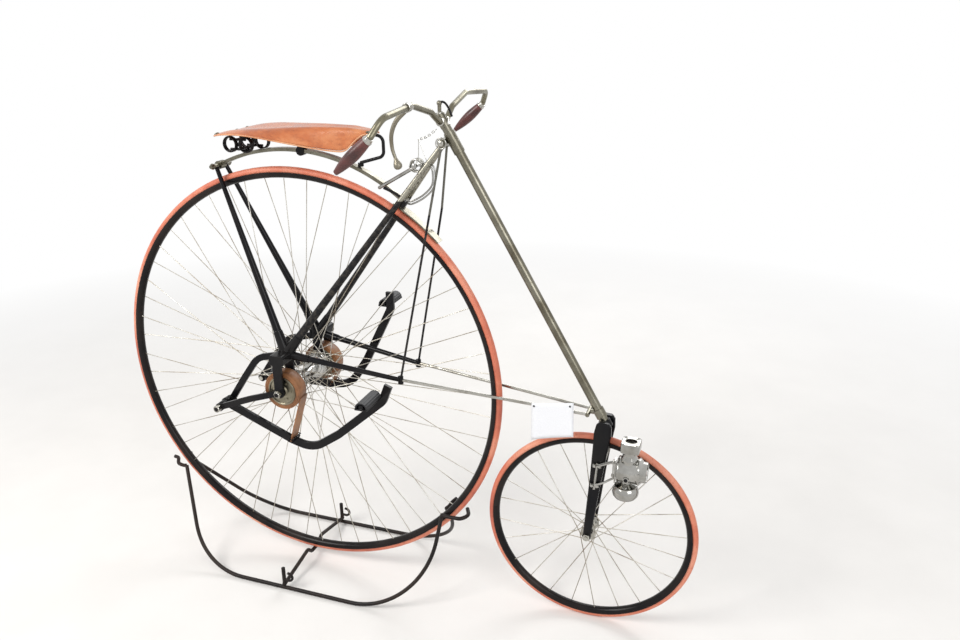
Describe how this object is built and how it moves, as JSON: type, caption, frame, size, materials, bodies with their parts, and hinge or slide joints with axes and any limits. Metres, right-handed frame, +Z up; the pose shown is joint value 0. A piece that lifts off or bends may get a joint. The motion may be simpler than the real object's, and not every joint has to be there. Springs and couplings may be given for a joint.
{
  "type": "lever-drive high-wheel bicycle",
  "caption": "Lever-drive high-wheel bicycle: tall driven wheel behind, small steered wheel in front, sprung leather saddle, lamp, and a bent-rod display stand.",
  "frame": {"origin": "on the floor, midway along the bicycle, in the plane of the wheels", "axes": "+X forward towards the small wheel, +Y to the rider's left, +Z up"},
  "size_m": [1.8398, 0.782, 1.5072],
  "materials": {
    "red_rubber": "solid salmon-red rubber, matt and dusty",
    "black_enamel": "gloss black enamel with fine wear",
    "aged_nickel": "dulled nickel plate with brown spotting",
    "spoke_steel": "tarnished plated wire",
    "bright_nickel": "polished nickel plate",
    "tan_leather": "glossy tan saddle leather",
    "strap_leather": "dry tan strap leather",
    "grip_maroon": "dark maroon varnished grips",
    "pedal_rubber": "dark grey ribbed rubber",
    "stand_steel": "dark brown-black painted rod",
    "lamp_glass": "clear glass"
  },
  "bodies": {
    "frame": {"backbone": "black_enamel", "brake_gear": "aged_nickel", "brake_spoon": "black_enamel", "front_rods": "aged_nickel", "head_lug": "aged_nickel", "left_pivot_pin": "black_enamel", "left_side_yoke": "black_enamel", "lower_arms": "black_enamel", "main_stays": "aged_nickel", "rear_axle": "aged_nickel", "rear_crossbar": "aged_nickel", "rear_stays": "aged_nickel", "right_pivot_pin": "black_enamel", "right_side_yoke": "black_enamel", "rod_clamp": "aged_nickel", "saddle": "tan_leather", "saddle_loop": "black_enamel", "saddle_springs": "black_enamel", "stand_cross_rod": "stand_steel", "stand_left_side": "stand_steel", "stand_right_side": "stand_steel", "stay_bridge": "aged_nickel", "steering_column": "aged_nickel", "vertical_stays": "aged_nickel"},
    "rear_wheel": {"rear_tyre": "red_rubber", "rear_rim": "black_enamel", "rear_hub": "aged_nickel", "rear_spokes": "spoke_steel"},
    "front_wheel": {"front_tyre": "red_rubber", "front_rim": "black_enamel", "front_hub": "aged_nickel", "front_spokes": "spoke_steel"},
    "steering": {"fork": "black_enamel", "steering_stem": "aged_nickel", "handlebar": "aged_nickel", "grips": "grip_maroon", "brake_hand_lever": "aged_nickel", "lamp": "bright_nickel", "lamp_bracket": "black_enamel", "lamp_lens": "lamp_glass", "front_axle": "aged_nickel"},
    "right_drum": {"right_drum": "strap_leather"},
    "left_drum": {"left_drum": "strap_leather"},
    "right_lever": {"right_lever": "black_enamel", "right_pedal": "pedal_rubber", "right_strap": "strap_leather"},
    "left_lever": {"left_lever": "black_enamel", "left_pedal": "pedal_rubber", "left_strap": "strap_leather"}
  },
  "joints": [
    {"name": "rear_wheel_spin", "type": "hinge", "parent": "frame", "child": "rear_wheel", "pos_m": [-0.28496, 0, 0.667], "axis": [0, 1, 0], "continuous": true},
    {"name": "steering_turn", "type": "hinge", "parent": "frame", "child": "steering", "pos_m": [0.64096, 0, 0.655], "axis": [-0.4985, 0, 0.8669], "range_deg": [-45, 45]},
    {"name": "front_wheel_spin", "type": "hinge", "parent": "steering", "child": "front_wheel", "pos_m": [0.61496, 0, 0.305], "axis": [0, 1, 0], "continuous": true},
    {"name": "right_lever_swing", "type": "hinge", "parent": "frame", "child": "right_lever", "pos_m": [-0.50196, 0, 0.588], "axis": [0, -1, 0], "range_deg": [-20, 22], "deforming": ["right_strap"]},
    {"name": "right_drum_turn", "type": "hinge", "parent": "frame", "child": "right_drum", "pos_m": [-0.28496, 0, 0.667], "axis": [0, 1, 0], "range_deg": [-89, 81]},
    {"name": "left_lever_swing", "type": "hinge", "parent": "frame", "child": "left_lever", "pos_m": [-0.50196, 0, 0.588], "axis": [0, -1, 0], "range_deg": [-42, 0], "deforming": ["left_strap"]},
    {"name": "left_drum_turn", "type": "hinge", "parent": "frame", "child": "left_drum", "pos_m": [-0.28496, 0, 0.667], "axis": [0, 1, 0], "range_deg": [-1, 169]}
  ],
  "couplings": [
    {"joint": "right_drum_turn", "follows": "right_lever_swing", "ratio": -4},
    {"joint": "left_drum_turn", "follows": "left_lever_swing", "ratio": -4}
  ]
}
